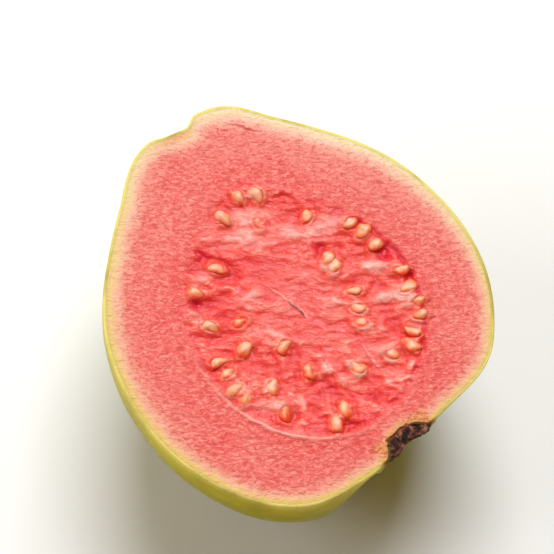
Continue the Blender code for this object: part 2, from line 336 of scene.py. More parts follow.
def skin_shell():
    """The peel: outer wall, cut edge and inner wall as one closed shell."""
    turns = np.arange(SKIN_DIRECTIONS) * 2 * pi / SKIN_DIRECTIONS
    pitches = rim_pitch(turns)
    rim = fruit_points(turns, pitches)
    inner_rim = fruit_points(turns, pitches, SKIN_THICKNESS)
    inner_rim[:, 2] = CUT_LEVEL
    bm, start = start_ring(rim - np.array((0, 0, SKIN_EDGE)))
    ring = start
    for level in range(1, SKIN_LEVELS + 1):
        share = level / (SKIN_LEVELS + 1)
        points = fruit_points(turns, pitches - share * (pitches + pi / 2))
        wave = SKIN_WAVES * eased(6 * share) * noise_at(points, SKIN_WAVE_SIZE, 3.0)
        outward = points - np.array((0, 0, AXIS_ABOVE_TABLE))
        outward /= np.linalg.norm(outward, axis=1)[:, None]
        points += outward * wave[:, None] * np.clip(points[:, 2:] / (3 * MM), 0, 1)
        ring = draw_ring(bm, ring, points)
    bmesh.ops.contextual_create(bm, geom=ring)
    ring = draw_ring(bm, start, rim * 0.997 + inner_rim * 0.003)
    ring = draw_ring(bm, ring, inner_rim)
    for edge in ring:
        edge.smooth = False
    for level in range(1, SKIN_INNER_LEVELS + 1):
        share = level / (SKIN_INNER_LEVELS + 1)
        points = fruit_points(turns, pitches - share * (pitches + pi / 2), SKIN_THICKNESS)
        ring = draw_ring(bm, ring, points)
    bmesh.ops.contextual_create(bm, geom=ring)
    skin = add_piece("skin", bm, waxy_peel(), "skin", "guava_half")
    points = corner_points(skin)
    reach, raised = calyx_place(points)
    scar = np.linalg.norm(points - np.array(SCAR_AT), axis=1)
    blossom = points[:, 0] > BLOSSOM_FROM
    near_calyx = RUSSET_BY_CALYX * bump(np.maximum(0, reach - CALYX_RADIUS), RUSSET_REACH_CALYX) * blossom
    pit = eased((CALYX_RADIUS + STAIN_EDGE - reach) / STAIN_EDGE) * blossom
    pit *= eased((STAIN_TOP - raised) / STAIN_TOP_FADE)
    cut_edge = eased((points[:, 2] - CUT_LEVEL + STAIN_UNDER_CUT) / STAIN_UNDER_CUT_FADE) * blossom
    cut_edge *= eased((CALYX_RADIUS + 2 * STAIN_EDGE - reach) / STAIN_EDGE)
    pit = np.maximum(pit, STAIN_ON_CUT * cut_edge)
    under_rim = (CUT_LEVEL - points[:, 2]) / CUT_LEVEL
    add_values(skin, under_rim=under_rim, ends=near_calyx + bump(scar, RUSSET_REACH_SCAR), pit=pit)
    return skin


skin_shell()

# Cut flesh. Firm pink flesh with a fine cellular grain, cream towards the skin, round a core of wet pulp.
# The knife left it flat. The softer pulp sank, tore in places and stands in small wet lumps.
CORE_CENTRE = MM * np.array((7.0, 0.4))
CORE_RADIUS = 24.0 * MM
CORE_OVAL = 1.6 * MM
CORE_POINT = 5.0 * MM
CORE_POINT_AT = radians(172)
CORE_POINT_WIDTH = radians(17)
FLESH_CELLS = 272
FLESH_BACK_LEVELS = 20
FLESH_BACK_CROWDING = 1.6
FLESH_GAP = 0.02 * MM
ENDS_FROM = 0.72
PULP_DIP = 0.5 * MM
PULP_DIP_FROM = 1.0
PULP_DIP_WIDTH = 0.25
BULGE = 0.045
BULGE_SIDE = radians(82)
BULGE_SPREAD = radians(42)
GROOVE_SHARE = 0.975
GROOVE_WIDTH = 0.022
GROOVE_DEPTH = 0.38 * MM
GROOVE_SIDE = radians(80)
GROOVE_LEAST = 0.16
EDGE_SPREAD = radians(50)
NEAR_CORE = 0.2
CREAM_BAND = 3.05 * MM
CREAM_BAND_MORE = 0.75 * MM
CREAM_BAND_SIDE = radians(192)
SPOKES_REACH = 22 * MM
TAN_BY_CALYX = 1.2 * MM
TAN_DEPTH = 1.6 * MM
TAN_BY_SCAR = 4.5 * MM
TAN_SCAR_DEPTH = 2.4 * MM
TAN_SCAR_FADE = 1.8 * MM
TAN_SCAR_SHARE = 0.8
PALER_SIDE = radians(146)
PALER_SPREAD = radians(68)
RIDGE_SHARE = 1.04
RIDGE_HEIGHT = 0.4 * MM
RIDGE_SIDE = radians(312)
# Torn holes: place and radius. Their darker red is partly the pulp's own and partly painted shade.
HOLES_MM = ((-3.0, 11.1, 1.0), (4.8, 21.2, 1.7), (-6.2, -15.9, 1.5), (-13.9, -9.4, 1.1), (11.9, 22.4, 0.9))
HOLE_DEPTH = 0.65 * MM
# Lumps of the pulp: size and height
LUMPS_MM = ((4.5, 0.32), (2.2, 0.36), (1.1, 0.24))
# Redder, lower places: place, radius and strength
FLUSHES_MM = (
    (-4.0, -11.4, 3.0, 0.6), (18.1, -17.2, 2.2, 0.7), (22.8, -14.0, 2.4, 0.9), (26.0, -10.6, 2.2, 0.9),
    (21.5, -4.5, 2.4, 0.9), (25.6, -3.8, 2.2, 0.7), (16.5, 14.4, 2.7, 0.7), (13.2, -5.9, 1.8, 0.9),
    (-2.1, -2.5, 3.2, 0.4), (1.5, 12.8, 1.6, 0.4), (26.3, 2.8, 2.6, 0.5), (32.2, -4.9, 3.2, 0.8),
    (-9.6, -9.0, 4.0, 0.8), (-3.0, -15.0, 3.8, 0.8), (-15.4, -5.0, 2.6, 0.6), (1.7, -17.9, 1.6, 0.6),
    (-12.1, 7.7, 1.6, 0.5), (7.6, -12.6, 1.4, 0.6), (-33.5, -3.2, 4.0, 0.4))
FLUSH_DEPTH = 0.3 * MM
RAYS_SIDE = radians(-5)
RAYS_SPREAD = radians(70)
RAYS_HEIGHT = 0.12 * MM
RAYS_SIZE = 1.1 * MM
RAYS_REACH = 18 * MM
LAYERS_REACH = 7 * MM
# Thin lines in the flesh: their two ends
LINES_MM = {
    "slit": ((2.6, -0.5), (8.4, 0.5)), "fibre": ((-2.6, -2.0), (3.4, -0.3)), "split": ((18.0, 5.8), (25.8, 6.4)),
    "crack": ((-36.2, 10.2), (-29.5, 15.8))}
CALM_PLACE = MM * np.array((4.0, 0.5))
CALM_RADIUS = 9.0 * MM
CALM = 0.35
KNIFE_TURN = radians(57)
STREAK_STRETCH = 2.0
RAGGED = 0.7 * MM
RAGGED_SIZE = 1.8 * MM
# Real cells are about 0.2 mm across: the grain is drawn this coarse so that it shows
GRAIN_SIZE = 0.8 * MM
GRAIN_HEIGHT = 0.05 * MM
MEMBRANE_HEIGHT = 0.3 * MM
# Pale membranes, their paleness partly their own and partly painted highlight: place, length, heading and width
MEMBRANES_MM = (
    (-6.5, 14.8, 9.4, 76, 2.0), (6.9, 18.7, 5.6, 48, 1.4), (-16.5, 1.9, 9.4, 68, 1.7), (13.6, 20.0, 4.0, 32, 1.3),
    (1.7, 9.6, 3.5, 0, 0.9), (-12.6, 0.2, 9.4, 62, 1.8), (-9.0, 8.0, 5.0, 60, 1.8), (8.6, 7.5, 3.2, 45, 0.8),
    (-9.9, -11.4, 4.3, 87, 1.1), (21.8, 9.5, 5.1, 62, 1.2), (20.1, 18.1, 4.7, 47, 1.1), (19.6, -15.4, 7.3, 60, 1.1),
    (8.3, -5.8, 7.6, 41, 0.7), (-1.7, -6.1, 4.6, 78, 0.8), (-4.7, -17.0, 3.0, 0, 1.1), (12.6, 15.9, 5.4, 75, 1.1))

# Seeds lie in rings round the core: share of the way out, then the angles at which the cut bares one
SEED_RINGS = (
    (0.97, (56, 64)),
    (0.94, (71, 83, 112, 120, 294, 341)),
    (0.91, (40, 48, 103, 166, 174, 225, 287)),
    (0.88, (184, 269, 277, 316)),
    (0.82, (144, 245, 348)),
    (0.78, (31, 206)),
    (0.71, (172, 304)),
    (0.60, (8, 268)),
    (0.54, (122, 243)),
    (0.48, (49, 63, 83, 114, 331)),
    (0.33, (295,)),
)
COVERED_SEEDS = (
    (0.91, 225), (0.54, 243), (0.48, 331), (0.94, 83), (0.88, 316), (0.71, 172), (0.48, 49), (0.97, 64))
SEED_LENGTH = 3.5 * MM
SEED_WIDTH = 2.2 * MM
SEED_TAPER = 0.25
SEED_TURN = radians(22)
SEED_SHIFT = 0.4 * MM
FILM_HEIGHT = 0.28 * MM
FILM_REACH = 1.15
FILM_WIDTH = 0.3
COLLAR_HEIGHT = 0.1 * MM
COLLAR_REACH = 0.9
COLLAR_WIDTH = 0.45
MOAT_DEPTH = 0.2 * MM
MOAT_REACH = 1.8
TORN_SIZE = 2.2 * MM

# Colours from the skin inwards: the firm flesh, and its paler side. Then the pulp's, from its dips upwards
FIRM_INWARDS = (
    (0.0, "#DCC650"), (0.1, "#E9CE6E"), (0.22, "#F1CC98"), (0.35, "#F2BC98"), (0.5, "#EF9A80"), (0.65, "#EC7C6C"),
    (0.85, "#ED685E"), (1.0, "#EE5F58"))
PALER_INWARDS = ((0.1, "#FCF0C4"), (0.26, "#FCE6C8"), (0.42, "#FAD0B6"), (0.62, "#F49A88"), (0.85, "#F08076"))
PULP_UPWARDS = (
    (0.05, "#DC1E2C"), (0.28, "#EA3434"), (0.46, "#F24A40"), (0.6, "#F56A5C"), (0.76, "#F99E90"), (0.95, "#FDCABE"))

# How pale each form of the pulp's surface is, from its red dips up to its pale films. Raised forms are painted paler
# and sunk ones darker: partly the pulp's own colour, partly painted highlight and shade.
TONE = 0.02
TONES = {
    "lumps": 0.7, "pale": 0.25, "film": 0.2, "moat_and_shade": -0.3, "deep_and_shade": -0.5, "groove": -0.3, "rays": 0.3, "flush": -0.35}


def core_radius(angle):
    """Radius of the core of pulp at angles round its centre."""
    point = CORE_POINT * bump(turned(angle - CORE_POINT_AT), CORE_POINT_WIDTH)
    return CORE_RADIUS + CORE_OVAL * np.cos(2 * angle) + point


def seed_places():
    """Where each seed lies in the cut face, which way it points and whether a film of pulp still covers it."""
    draw = random.Random(5)
    places = []
    for share, angles in SEED_RINGS:
        for angle in angles:
            turn = radians(angle)
            place = CORE_CENTRE + np.array((cos(turn), sin(turn))) * core_radius(turn) * share
            place = place + np.array((draw.uniform(-1, 1), draw.uniform(-1, 1))) * SEED_SHIFT
            places.append((place, turn + draw.uniform(-SEED_TURN, SEED_TURN), (share, angle) in COVERED_SEEDS))
    return places


def along_across(places, centre, heading):
    """Offsets of places from a centre, along a heading and across it."""
    offset = places - np.array(centre)
    along = offset[:, 0] * cos(heading) + offset[:, 1] * sin(heading)
    return along, offset[:, 1] * cos(heading) - offset[:, 0] * sin(heading)


def streaked(places):
    """Places in the cut face, drawn together along the knife's way, so that noise there runs in streaks."""
    along, across = along_across(places, CORE_CENTRE, KNIFE_TURN)
    return np.stack((along / STREAK_STRETCH, across, np.zeros(len(places))), 1)


def core_share(places):
    """Angle round the core and share of the way to its edge, for places in the cut face."""
    arm = places - CORE_CENTRE
    angle = np.arctan2(arm[:, 1], arm[:, 0])
    return angle, np.hypot(arm[:, 0], arm[:, 1]) / core_radius(angle)


def cut_features(places):
    """Height of the cut face over its plane, and what its material reads, at places in it."""
    knife = streaked(places)
    shift = [noise_at(knife, RAGGED_SIZE, seed) + 0.5 * noise_at(knife, RAGGED_SIZE / 2, seed) for seed in (21.0, 31.0)]
    ragged = places + RAGGED * np.stack(shift, 1)
    angle, share = core_share(0.4 * places + 0.6 * ragged)
    share -= BULGE * bump(turned(angle - BULGE_SIDE), BULGE_SPREAD)
    wet = eased((PULP_DIP_FROM + 0.04 - share) / 0.08)
    inside = eased((PULP_DIP_FROM - share) / PULP_DIP_WIDTH)
    calm = bump(np.linalg.norm(places - CALM_PLACE, axis=1), CALM_RADIUS)
    lumps = sum(tall * noise_at(knife, size * MM, 7.0 * size) for size, tall in LUMPS_MM) * wet * (1 - CALM * calm)
    flush = np.zeros(len(places))
    for x, y, radius, strength in FLUSHES_MM:
        reach = np.linalg.norm(ragged - MM * np.array((x, y)), axis=1)
        flush = np.maximum(flush, strength * bump(reach, radius * MM))
    spoke = RAYS_REACH * np.stack((np.cos(angle), np.sin(angle), 0.4 * share), 1)
    rays = noise_at(spoke, RAYS_SIZE, 51.0) * bump(turned(angle - RAYS_SIDE), RAYS_SPREAD)
    rays *= eased((share - 0.25) / 0.3)
    # The groove where the pulp meets the firm flesh is sunk into the face, and is also painted darker red as painted
    # shade.
    groove_side = GROOVE_LEAST + (1 - GROOVE_LEAST) * bump(turned(angle - GROOVE_SIDE), EDGE_SPREAD)
    groove = groove_side * bump(share - GROOVE_SHARE, GROOVE_WIDTH)
    # The ridge at the core's lower edge is raised, and painted paler as painted highlight on its lit wall; the pale
    # membranes take some of it.
    ridge = bump(turned(angle - RIDGE_SIDE), EDGE_SPREAD / 1.5) * bump(share - RIDGE_SHARE, GROOVE_WIDTH / 1.4)
    # Holes are sunk into the face and painted darker red, partly as painted shade.
    deep_and_shade = np.zeros(len(places))
    for x, y, radius in HOLES_MM:
        reach = np.hypot(ragged[:, 0] - x * MM, ragged[:, 1] - y * MM)
        deep_and_shade = np.maximum(deep_and_shade, bump(reach, radius * MM))
    pale = 0.8 * ridge
    for x, y, length, heading, width in MEMBRANES_MM:
        along, across = along_across(ragged, (x * MM, y * MM), radians(heading))
        pale = np.maximum(pale, bump(along, length * MM * 0.55) * bump(across, width * MM))
    film = np.zeros(len(places))
    collar = np.zeros(len(places))
    moat_and_shade = np.zeros(len(places))
    glow = np.zeros(len(places))
    for place, heading, _ in seed_places():
        along, across = along_across(0.6 * places + 0.4 * ragged, place, heading)
        reach = np.hypot(along / (SEED_LENGTH / 2), across / (SEED_WIDTH / 2))
        film = np.maximum(film, bump(reach - FILM_REACH, FILM_WIDTH))
        collar = np.maximum(collar, bump(np.maximum(0, reach - COLLAR_REACH), COLLAR_WIDTH))
        moat_and_shade = np.maximum(moat_and_shade, bump(reach - MOAT_REACH, FILM_WIDTH * 1.5))
        glow = np.maximum(glow, bump(reach, 1.6))
    torn = noise_at(knife, TORN_SIZE, 41.0)
    film *= np.clip(0.55 + 1.3 * torn, 0, 1)
    # The moat round each seed is sunk, and its colour is pulled darker through the tones as painted shade.
    moat_and_shade *= (1 - film) * np.clip(0.35 - 1.5 * torn, 0, 1)
    grain = noise_at(knife, GRAIN_SIZE, 11.0) + 0.5 * noise_at(knife, GRAIN_SIZE / 2, 13.0)
    height = lumps * MM - PULP_DIP * inside - GROOVE_DEPTH * groove + RIDGE_HEIGHT * ridge - HOLE_DEPTH * deep_and_shade
    height += MEMBRANE_HEIGHT * pale * wet + FILM_HEIGHT * film - MOAT_DEPTH * moat_and_shade + GRAIN_HEIGHT * grain
    height += COLLAR_HEIGHT * collar + (RAYS_HEIGHT * rays - FLUSH_DEPTH * flush) * wet
    forms = {
        "lumps": lumps, "pale": pale, "film": film, "moat_and_shade": moat_and_shade, "deep_and_shade": deep_and_shade, "groove": groove, "rays": rays,
        "flush": flush}
    values = {name: forms[name] for name in ("deep_and_shade", "groove", "flush", "pale")}
    values.update(wet=wet, glow=glow, calm=calm, ridge=ridge, near_core=bump(share - 1.0, NEAR_CORE))
    values["tone"] = TONE + sum(weight * forms[name] for name, weight in TONES.items())
    values["paler"] = bump(turned(angle - PALER_SIDE), PALER_SPREAD) * eased((share - 0.9) / 0.4)
    values["layers"] = LAYERS_REACH * np.stack((np.cos(angle), np.sin(angle), np.zeros(len(angle))), 1)
    for name, ends in LINES_MM.items():
        start, end = MM * np.array(ends)
        length = np.linalg.norm(end - start)
        along, across = along_across(places, (start + end) / 2, float(np.arctan2(*(end - start)[::-1])))
        values[name + "_along"] = along / length * 2
        values[name + "_across"] = across / MM
    return height, values


def moist_flesh():
    """Fresh cut fruit flesh: moist and translucent, grainy when firm, glossy where the pulp is wet."""
    material, tree = new_material("fresh_cut_guava_flesh")
    names = [name + part for name in LINES_MM for part in ("_along", "_across")]
    names += [
        "rim", "wet", "tone", "deep_and_shade", "glow", "groove", "calm", "flush", "near_core", "ridge", "pale", "paler", "tan"]
    read = {name: add_node(tree, "ShaderNodeAttribute", "Fac", {"attribute_name": name}) for name in names}
    knife, spokes, rings = (
        add_node(tree, "ShaderNodeAttribute", "Vector", {"attribute_name": name})
        for name in ("knife", "spokes", "layers"))
    place = add_node(tree, "ShaderNodeTexCoord", "Object")

    # Patterns in the flesh: where each is drawn, its size in mm, detail and distortion
    patches, layers, rays, cells, fine = (
        add_node(
            tree, "ShaderNodeTexNoise", "Fac", Vector=where, Scale=1 / (size * MM), Detail=detail, Roughness=0.6,
            Distortion=distortion)
        for where, size, detail, distortion in (
            (place, 5.0, 3.0, 0.0), (rings, 2.2, 3.0, 0.0), (spokes, 0.9, 3.0, 0.0), (knife, 0.55, 2.0, 1.0),
            (knife, 1.1, 3.0, 1.2)))

    # Cream under the skin, then pink: the change of colour runs in fine spokes
    warp = add_node(tree, "ShaderNodeMath", 0, {"operation": "MULTIPLY_ADD"}, n0=patches, n1=0.6, n2=-0.65)
    warp = add_node(tree, "ShaderNodeMath", 0, {"operation": "MULTIPLY_ADD"}, n0=rays, n1=0.7, n2=warp)
    fade = add_node(tree, "ShaderNodeValToRGB", 0, {"stops": ((0.05, 0.0), (0.5, 1.0))}, n0=read["rim"])
    depth = add_node(tree, "ShaderNodeMath", 0, {"operation": "MULTIPLY_ADD"}, n0=warp, n1=fade, n2=read["rim"])
    depth = add_node(tree, "ShaderNodeMath", 0, {"operation": "MULTIPLY"}, n0=depth, n1=0.5)
    inner = add_node(tree, "ShaderNodeValToRGB", 0, {"stops": ((0.2, 0.2), (1.0, 1.0))}, n0=read["rim"])
    firm, paler = (
        add_node(tree, "ShaderNodeValToRGB", 0, {"stops": stops}, n0=depth) for stops in (FIRM_INWARDS, PALER_INWARDS))
    tan = add_node(tree, "ShaderNodeValToRGB", 0, {"stops": ((0.35, "#C0602A"), (0.6, "#F2A05C"))}, n0=cells)
    firm = paint(
        tree, firm,
        (read["paler"], ((0.0, 0.0), (1.0, 0.85)), 1.0, paler),
        (layers, ((0.35, 0.0), (0.6, 0.6)), inner, "#F18278"),
        (layers, ((0.3, 0.5), (0.48, 0.0)), inner, "#E64443"),
        (read["near_core"], ((0.0, 0.0), (1.0, 0.5)), 1.0, "#EC463E"),
        (read["flush"], ((0.0, 0.0), (1.0, 0.9)), 1.0, "#E23C3C"),
        (cells, ((0.34, 0.65), (0.5, 0.0)), inner, "#CE3E3A"),
        (cells, ((0.5, 0.0), (0.66, 0.6)), 1.0, "#FCAA98"),
        (cells, ((0.35, 1.0), (0.6, 0.75)), read["tan"], tan))

    # Wet pulp: red in its dips, paler on its lumps and films, orange round the seeds. The red of the dips and the
    # paleness of the tops are partly the pulp's own colour and partly painted shade and highlight.
    tone = add_node(tree, "ShaderNodeMath", 0, {"operation": "ADD"}, n0=read["tone"], n1=fine)
    pulp = add_node(tree, "ShaderNodeValToRGB", 0, {"stops": PULP_UPWARDS}, n0=tone)
    pulp = paint(
        tree, pulp,
        (read["pale"], ((0.0, 0.0), (1.0, 0.6)), 1.0, "#F8A49C"),
        (read["glow"], ((0.0, 0.0), (1.0, 0.6)), 1.0, "#F85A38"),
        # Painted shade, in part: the holes are painted a darker red than the pulp round them.
        (read["deep_and_shade"], ((0.0, 0.0), (1.0, 0.85)), 1.0, "#DE1438"),
        (read["calm"], ((0.0, 0.0), (1.0, 0.35)), 1.0, firm))
    colour = paint(
        tree, firm,
        (read["wet"], ((0.0, 0.0), (1.0, 1.0)), 1.0, pulp),
        # Painted shade: the groove round the core is painted darker red, as the shade that falls into it.
        (read["groove"], ((0.0, 0.0), (1.0, 0.85)), 1.0, "#D81838"),
        # Painted highlight: the ridge is painted paler, as light on its lit wall.
        (read["ridge"], ((0.0, 0.0), (1.0, 0.8)), 1.0, "#FFBCB0"))

    # The slit where the halves of the core parted, a pale fibre beside it, a split and a crack under the cream:
    # ragged lines that taper to both ends. The dark of the slit, split and crack is painted shade in gaps that the
    # mesh leaves shut. Each has a half width, its lip's offset, width and strength, its own strength and a tint.
    # Sizes are in mm.
    wander = add_node(tree, "ShaderNodeMath", 0, {"operation": "MULTIPLY_ADD"}, n0=patches, n1=2.5, n2=-1.25)
    for name, width, lip_at, lip_width, lip_strength, strength, tint in (
            ("slit", 0.36, 0.4, 0.3, 0.45, 0.9, "#8C0A08"), ("fibre", 0.25, 0.0, 0.3, 0.0, 0.6, "#FFB8A8"),
            ("split", 0.25, 0.5, 0.25, 0.4, 0.75, "#C43030"), ("crack", 0.3, 0.5, 0.25, 0.4, 0.75, "#C43030")):
        along, across = read[name + "_along"], read[name + "_across"]
        square, length, off = (
            add_node(tree, "ShaderNodeMath", 0, {"operation": operation}, n0=first, n1=second)
            for operation, first, second in (
                ("MULTIPLY", along, along), ("ABSOLUTE", along, 0.0), ("ADD", across, wander)))
        wide = add_node(tree, "ShaderNodeMath", 0, {"operation": "MULTIPLY_ADD"}, n0=square, n1=-width, n2=width)
        from_line = add_node(tree, "ShaderNodeMath", 0, {"operation": "ABSOLUTE"}, n0=off)
        covered = add_node(tree, "ShaderNodeMath", 0, {"operation": "SUBTRACT"}, n0=wide, n1=from_line)
        covered = add_node(tree, "ShaderNodeMath", 0, {"operation": "MULTIPLY"}, n0=covered, n1=8.0)
        from_lip = add_node(tree, "ShaderNodeMath", 0, {"operation": "SUBTRACT"}, n0=off, n1=lip_at)
        from_lip = add_node(tree, "ShaderNodeMath", 0, {"operation": "ABSOLUTE"}, n0=from_lip)
        on_line = add_node(tree, "ShaderNodeValToRGB", 0, {"stops": ((0.6, 1.0), (1.0, 0.0))}, n0=length)
        colour = paint(
            tree, colour,
            (from_lip, ((0.0, lip_strength), (lip_width, 0.0)), on_line, "#FFB8A4"),
            (covered, ((0.0, 0.0), (1.0, strength)), 1.0, tint))

    rough = add_node(tree, "ShaderNodeMapRange", "Result", n0=read["wet"], n3=0.5, n4=0.2)
    relief = add_node(tree, "ShaderNodeBump", "Normal", Strength=0.5, Distance=0.3 * MM, Height=cells)
    relief = add_node(tree, "ShaderNodeBump", "Normal", Strength=0.5, Distance=0.45 * MM, Height=fine, Normal=relief)
    finish_material(
        tree, Base_Color=colour, Roughness=rough, IOR=1.38, Subsurface_Weight=0.45,
        Subsurface_Radius=(1.0, 0.35, 0.3), Subsurface_Scale=1.2 * MM, Normal=relief)
    return material


def flesh_body():
    """The flesh: a fine round sheet for the cut face, and a back that lies just inside the skin."""
    bm = bmesh.new()
    bmesh.ops.create_grid(bm, x_segments=FLESH_CELLS, y_segments=FLESH_CELLS, size=1.0)
    u, v = np.array([corner.co[:2] for corner in bm.verts]).T
    disc = np.stack((u * np.sqrt(1 - v * v / 2), v * np.sqrt(1 - u * u / 2)), 1)
    direction = np.arctan2(disc[:, 1], disc[:, 0])
    out = np.hypot(disc[:, 0], disc[:, 1])
    inset = SKIN_THICKNESS + FLESH_GAP
    even_rim = rim_points(direction, inset, 0.0)[:, :2]
    moved = rim_points(direction, inset)[:, :2] - even_rim
    places = CORE_CENTRE + (even_rim - CORE_CENTRE) * out[:, None]
    places += moved * eased((out - ENDS_FROM) / (1 - ENDS_FROM))[:, None]
    rim_distance = np.linalg.norm(even_rim - CORE_CENTRE, axis=1) * (1 - out)
    height, values = cut_features(places)
    height *= eased(rim_distance / (1.0 * MM))
    order = bm.verts.layers.int.new("order")
    for index, corner in enumerate(bm.verts):
        corner[order] = index
        corner.co = (*places[index], CUT_LEVEL + height[index])
    pitch = rim_pitch(direction)
    ring = [edge for edge in bm.edges if edge.is_boundary]
    for edge in ring:
        edge.smooth = False
    for level in range(1, FLESH_BACK_LEVELS + 1):
        share = (level / (FLESH_BACK_LEVELS + 1)) ** FLESH_BACK_CROWDING
        ring = draw_ring(bm, ring, fruit_points(direction, pitch - share * (pitch + pi / 2), inset))
    bmesh.ops.contextual_create(bm, geom=ring)
    indices = np.array([corner[order] for corner in bm.verts])
    flesh = add_piece("flesh", bm, moist_flesh(), "flesh", "guava_half")
    values["rim"] = rim_distance / (CREAM_BAND + CREAM_BAND_MORE * np.cos(direction - CREAM_BAND_SIDE))
    values["spokes"] = np.stack(
        (SPOKES_REACH * np.cos(direction), SPOKES_REACH * np.sin(direction), 0.4 * rim_distance), 1)
    values["layers"][:, 2] = rim_distance
    values["knife"] = streaked(places)
    reach, height_over = calyx_place(np.column_stack((places, np.full(len(places), CUT_LEVEL))))
    by_calyx = eased((CALYX_RADIUS + TAN_BY_CALYX - reach) / TAN_BY_CALYX)
    by_calyx *= eased((height_over + PIT_DEPTH + TAN_DEPTH) / TAN_DEPTH)
    by_scar = bump(places[:, 1] - SCAR_AT.y, TAN_BY_SCAR) * eased((TAN_SCAR_DEPTH - rim_distance) / TAN_SCAR_FADE)
    values["tan"] = by_calyx + TAN_SCAR_SHARE * by_scar * (places[:, 0] < 0)
    add_values(flesh, **{name: numbers[indices] for name, numbers in values.items()})
    return flesh


flesh_body()

# Seeds. Small hard pips, cream and wet, each more than half sunk in the pulp that grew round it.
# Each is one smooth egg, a little bent, with its thick end outwards.
SEED_SIDES = 20
SEED_FLATNESS = 0.7
SEED_SUNK = 0.18 * MM
SEED_SUNK_MORE = 0.22 * MM
SEED_BEND = 0.3 * MM
# Seed colours from orange, where the pulp stains them, up to cream. The top and one fixed side of each are painted
# lighter, as painted light.
SEED_STAINED_TO_LIT = ((0.4, "#FC5032"), (0.54, "#FC7A4A"), (0.68, "#FC9C70"), (0.86, "#FCB898"))
SEED_STAIN = (0.2, 0.5)
SEED_STAIN_SIZE = 1.2 * MM
SEED_LIT_SIDE = 0.4
SEED_DENT = 0.35
SEED_SIZES = (1.0, 1.3)


def wet_seed():
    """Wet hard seed coat: cream, stained orange where the pulp holds it, and painted lighter on top and on one side as
    lit.
    """
    material, tree = new_material("wet_guava_seed")
    place = add_node(tree, "ShaderNodeTexCoord", "Object")
    above = add_node(tree, "ShaderNodeAttribute", "Fac", {"attribute_name": "above"})
    stain = add_node(tree, "ShaderNodeTexNoise", "Fac", Vector=place, Scale=1 / SEED_STAIN_SIZE, Detail=3.0)
    shifted = add_node(tree, "ShaderNodeMath", 0, {"operation": "MULTIPLY_ADD"}, n0=stain, n1=0.8, n2=above)
    colour = add_node(tree, "ShaderNodeValToRGB", 0, {"stops": SEED_STAINED_TO_LIT}, n0=shifted)
    finish_material(
        tree, Base_Color=colour, Roughness=0.3, IOR=1.42, Subsurface_Weight=0.5,
        Subsurface_Radius=(1.0, 0.7, 0.4), Subsurface_Scale=0.7 * MM)
    return material


def seeds():
    """All the seeds that the cut bares, as one piece."""
    bm = bmesh.new()
    above = bm.verts.layers.float.new("above")
    places = seed_places()
    draw = random.Random(9)
    for place, heading, covered in places:
        made = bmesh.ops.create_uvsphere(bm, u_segments=SEED_SIDES, v_segments=SEED_SIDES // 2, radius=1.0)["verts"]
        angle, share = core_share(np.array([place]))
        inside = eased((PULP_DIP_FROM - share[0]) / PULP_DIP_WIDTH)
        level = CUT_LEVEL - PULP_DIP * inside - SEED_SUNK - SEED_SUNK_MORE * (covered + draw.random()) / 1.5
        stain = SEED_STAIN[covered] * draw.uniform(0.7, 1.3)
        size = draw.uniform(*SEED_SIZES)
        for corner in made:
            x, y, z = corner.co
            # Painted light: each seed is painted lighter towards its top and towards one side that is the same for all
            # seeds.
            lit_side = x * sin(heading - KNIFE_TURN) + y * cos(heading - KNIFE_TURN)
            corner[above] = 0.5 * (z - stain + SEED_LIT_SIDE * lit_side)
            thick = size * SEED_WIDTH / 2 * (1 + SEED_TAPER * x)
            dent = 1 + SEED_DENT * noise.noise(Vector((x, y, z)) + 5 * Vector(place).to_3d() / MM)
            bent = y * thick + SEED_BEND * x * x
            corner.co = dent * Vector((x * size * SEED_LENGTH / 2, bent, z * thick * SEED_FLATNESS))
        turn = Matrix.Rotation(heading, 4, "Z")
        bmesh.ops.transform(bm, verts=made, matrix=Matrix.Translation((*place, level)) @ turn)
    return add_piece("seeds", bm, wet_seed(), "seeds", "guava_half")


seeds()

# Calyx. The dried remains of the flower: brown, brittle lobes folded over a hollow, grown into the fruit's end.
# It was cut through with the fruit, and fills a shallow pit behind a low lip of skin.
CALYX_SIDES = 90
CALYX_LOBES = 5
CALYX_BACK = ((0.3, -3.4), (0.66, -3.25), (0.87, -2.2), (0.99, -1.0))
CALYX_FRONT = (
    (1.0, -0.4), (0.94, -0.1), (0.82, 0.1), (0.68, 0.15), (0.54, 0.0), (0.4, -0.4), (0.24, -0.8), (0.08, -1.0))
CRUST_VOXEL = 0.16 * MM
CRUST_ROUGH = 0.5 * MM
CRUST_SIZES_MM = (2.4, 1.2, 0.6, 0.4)
CRUMB_SIZE = 1.6 * MM
LOBE_DENT = 0.22


def brittle_crust():
    """Dead dry sepals: nearly black brown, matt and crumbly, orange tan where they meet the flesh."""
    material, tree = new_material("dry_calyx_crust")
    place = add_node(tree, "ShaderNodeTexCoord", "Object")
    inner = add_node(tree, "ShaderNodeAttribute", "Fac", {"attribute_name": "inner"})
    crumbs = add_node(
        tree, "ShaderNodeTexNoise", "Fac", Vector=place, Scale=1 / CRUMB_SIZE, Detail=5.0, Roughness=0.7)
    colour = add_node(
        tree, "ShaderNodeValToRGB", 0,
        {"stops": ((0.4, "#140703"), (0.48, "#34150D"), (0.55, "#6E3A2A"), (0.64, "#A07458"))}, n0=crumbs)
    colour = paint(tree, colour, (inner, ((0.8, 0.0), (1.0, 0.5)), 1.0, "#A8502A"))
    relief = add_node(tree, "ShaderNodeBump", "Normal", Strength=0.8, Distance=0.4 * MM, Height=crumbs)
    finish_material(tree, Base_Color=colour, Roughness=0.85, IOR=1.4, Normal=relief)
    return material


